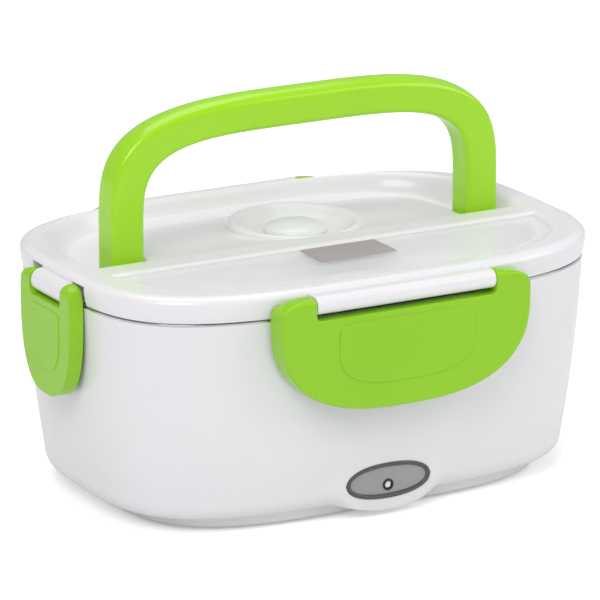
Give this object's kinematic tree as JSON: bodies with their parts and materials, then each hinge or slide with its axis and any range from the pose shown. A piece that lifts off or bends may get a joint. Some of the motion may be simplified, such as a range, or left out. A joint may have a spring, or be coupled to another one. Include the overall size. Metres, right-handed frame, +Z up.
{
  "type": "electric lunch box",
  "caption": "Electric heated lunch box: white housing with steel food container, lift-off lid held by green snap latches, folding bail handle, spoon compartment, steam vent and lamp pod.",
  "frame": {"origin": "bottom centre of the box, on the plane of the rubber feet", "axes": "+X along the long side, -Y towards the front with the lamp pod, +Z up"},
  "size_m": [0.2388, 0.1742, 0.1643],
  "materials": {
    "white_shell": "glossy moulded polypropylene, warm white",
    "white_lid": "glossy moulded polypropylene, white",
    "grey_base": "fine matt moulded plastic, light grey",
    "well_grey": "heat resistant moulded plastic",
    "foot_rubber": "soft black rubber",
    "screw_steel": "zinc plated",
    "plate_aluminium": "plain rolled sheet",
    "heater_case": "dull aluminium case round ceramic stones",
    "clamp_steel": "spring steel",
    "black_plastic": "black moulded plastic",
    "fuse_case": "dull can with tinned leads",
    "pin_metal": "nickel plated",
    "lead_cover": "red silicone sleeve",
    "bezel_grey": "glossy dark grey plastic",
    "lamp_grey": "satin mid grey plastic",
    "lamp_white": "milky white lamp",
    "board_green": "circuit board",
    "steel_pan": "drawn stainless steel, fine brushed",
    "seal_silicone": "translucent white silicone",
    "spoon_white": "glossy white plastic",
    "clear_cover": "clear glossy plastic sheet",
    "label_grey": "plain grey paper label",
    "valve_white": "white silicone",
    "green_grip": "glossy lime green plastic",
    "green_latch": "glossy lime green plastic"
  },
  "bodies": {
    "base": {"housing": "white_shell", "well_liner": "well_grey", "base_cover": "grey_base", "rubber_feet": "foot_rubber", "base_screws": "screw_steel", "heating_plate": "plate_aluminium", "ptc_heater": "heater_case", "heater_clamp": "clamp_steel", "clamp_screws": "screw_steel", "thermostat": "black_plastic", "thermal_fuse": "fuse_case", "inlet_body": "black_plastic", "inlet_pins": "pin_metal", "lead_wires": "lead_cover", "lamp_bezel": "bezel_grey", "lamp_plate": "lamp_grey", "lamp_ring": "black_plastic", "lamp_led": "lamp_white", "led_board": "board_green", "food_container": "steel_pan"},
    "lid": {"lid_shell": "white_lid", "lid_inner": "white_lid", "lid_seal": "seal_silicone", "spoon": "spoon_white"},
    "clear_lid": {"spoon_cover": "clear_cover", "cover_label": "label_grey"},
    "valve": {"vent_valve": "valve_white"},
    "bail": {"handle": "green_grip"},
    "front_latch": {"latch_front": "green_latch"},
    "rear_latch": {"latch_rear": "green_latch"},
    "left_latch": {"latch_left": "green_latch"},
    "right_latch": {"latch_right": "green_latch"}
  },
  "joints": [
    {"name": "lid_lift", "type": "slide", "parent": "base", "child": "lid", "axis": [0, 0, 1], "range_m": [0, 0.12]},
    {"name": "spoon_cover_lift", "type": "slide", "parent": "lid", "child": "clear_lid", "axis": [0, 0, 1], "range_m": [0, 0.075]},
    {"name": "vent_lift", "type": "slide", "parent": "lid", "child": "valve", "axis": [0, 0, 1], "range_m": [0, 0.004]},
    {"name": "handle_fold", "type": "hinge", "parent": "lid", "child": "bail", "pos_m": [0, 0.0023, 0.097], "axis": [-1, 0, 0], "range_deg": [0, 84]},
    {"name": "front_latch_swing", "type": "hinge", "parent": "lid", "child": "front_latch", "pos_m": [0, -0.0824, 0.0978], "axis": [-1, 0, 0], "range_deg": [0, 100]},
    {"name": "rear_latch_swing", "type": "hinge", "parent": "lid", "child": "rear_latch", "pos_m": [0, 0.0824, 0.0978], "axis": [1, 0, 0], "range_deg": [0, 100]},
    {"name": "left_latch_swing", "type": "hinge", "parent": "lid", "child": "left_latch", "pos_m": [-0.1147, 0, 0.0952], "axis": [0, 1, 0], "range_deg": [0, 100]},
    {"name": "right_latch_swing", "type": "hinge", "parent": "lid", "child": "right_latch", "pos_m": [0.1147, 0, 0.0952], "axis": [0, -1, 0], "range_deg": [0, 100]}
  ]
}
